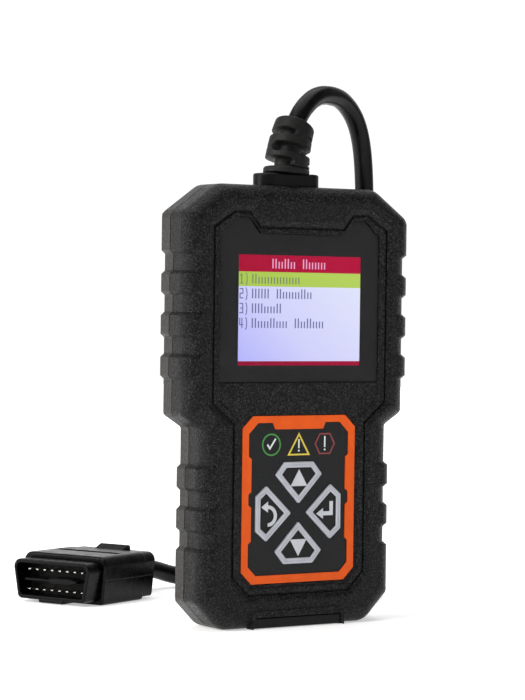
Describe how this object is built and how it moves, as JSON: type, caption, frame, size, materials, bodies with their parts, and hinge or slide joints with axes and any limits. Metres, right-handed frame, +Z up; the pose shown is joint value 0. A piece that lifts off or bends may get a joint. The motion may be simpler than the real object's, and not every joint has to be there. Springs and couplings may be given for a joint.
{
  "type": "obd code reader",
  "caption": "Handheld engine code reader with a ribbed black shell, colour screen, kite-shaped keys, a hinged port cover and a corded diagnostic plug.",
  "frame": {"origin": "middle of the reader's lower end, on the surface it stands on", "axes": "+Z up the length of the reader towards the cable gland, -Y out of the screen and keypad, +X to the viewer's right"},
  "size_m": [0.1549, 0.1469, 0.2162],
  "materials": {
    "shell": "fine spark-grained black plastic",
    "cover": "satin black plastic",
    "lens": "matte tinted clear sheet",
    "mask": "black printed border",
    "display": "colour display module",
    "holder": "natural white plastic",
    "ribbon": "amber film circuit",
    "trim": "satin orange plastic",
    "panel": "fine-grained black plastic",
    "key_cap": "smooth black plastic",
    "key_rim": "silver-coated plastic",
    "key_symbol": "pale print",
    "icon_green": "green print",
    "icon_yellow": "yellow print",
    "icon_red": "red print",
    "icon_white": "white print",
    "board": "green solder mask",
    "chip": "black moulded package",
    "can": "aluminium can",
    "led": "clear resin",
    "steel": "zinc-plated steel",
    "pin": "nickel-plated brass",
    "collar": "satin black plastic",
    "boot": "black moulded rubber",
    "cable": "semi-gloss black jacket",
    "tie": "black hook-and-loop strap",
    "plug": "semi-gloss black plastic",
    "plug_insert": "matte black plastic"
  },
  "bodies": {
    "reader": {"front_shell": "shell", "rear_shell": "shell", "screen_lens": "lens", "screen_mask": "mask", "lcd_panel": "display", "lcd_holder": "holder", "lcd_ribbon": "ribbon", "keypad_trim": "trim", "keypad_panel": "panel", "ok_ring": "icon_green", "pending_triangle": "icon_yellow", "fault_hexagon": "icon_red", "indicator_marks": "icon_white", "main_board": "board", "key_switches": "chip", "indicator_leds": "led", "processor_chip": "chip", "support_chips": "chip", "board_capacitors": "can", "crystal": "can", "buzzer": "chip", "usb_socket": "steel", "cable_header": "holder", "case_screws": "steel", "board_screws": "steel", "gland_collar": "collar", "strain_relief": "boot", "inner_cable": "cable", "cable": "cable", "cable_loop": "cable", "cable_tie": "tie", "cable_tail": "cable", "plug_shroud": "plug", "plug_insert": "plug_insert", "plug_pins": "pin", "plug_upper_shell": "plug", "plug_lower_shell": "plug", "plug_grommet": "boot"},
    "key_up": {"key_up_cap": "key_cap", "key_up_rim": "key_rim", "key_up_symbol": "key_symbol"},
    "key_right": {"key_right_cap": "key_cap", "key_right_rim": "key_rim", "key_right_symbol": "key_symbol"},
    "key_down": {"key_down_cap": "key_cap", "key_down_rim": "key_rim", "key_down_symbol": "key_symbol"},
    "key_left": {"key_left_cap": "key_cap", "key_left_rim": "key_rim", "key_left_symbol": "key_symbol"},
    "port_cover": {"port_cover": "cover"}
  },
  "joints": [
    {"name": "key_up_press", "type": "slide", "parent": "reader", "child": "key_up", "axis": [0, 1, 0], "range_m": [0, 0.0007], "stiffness_N_per_m": 500, "springref_m": -0.0006},
    {"name": "key_right_press", "type": "slide", "parent": "reader", "child": "key_right", "axis": [0, 1, 0], "range_m": [0, 0.0007], "stiffness_N_per_m": 500, "springref_m": -0.0006},
    {"name": "key_down_press", "type": "slide", "parent": "reader", "child": "key_down", "axis": [0, 1, 0], "range_m": [0, 0.0007], "stiffness_N_per_m": 500, "springref_m": -0.0006},
    {"name": "key_left_press", "type": "slide", "parent": "reader", "child": "key_left", "axis": [0, 1, 0], "range_m": [0, 0.0007], "stiffness_N_per_m": 500, "springref_m": -0.0006},
    {"name": "port_cover_hinge", "type": "hinge", "parent": "reader", "child": "port_cover", "pos_m": [0, -0.0123, 0.0016], "axis": [1, 0, 0], "range_deg": [0, 90]}
  ]
}
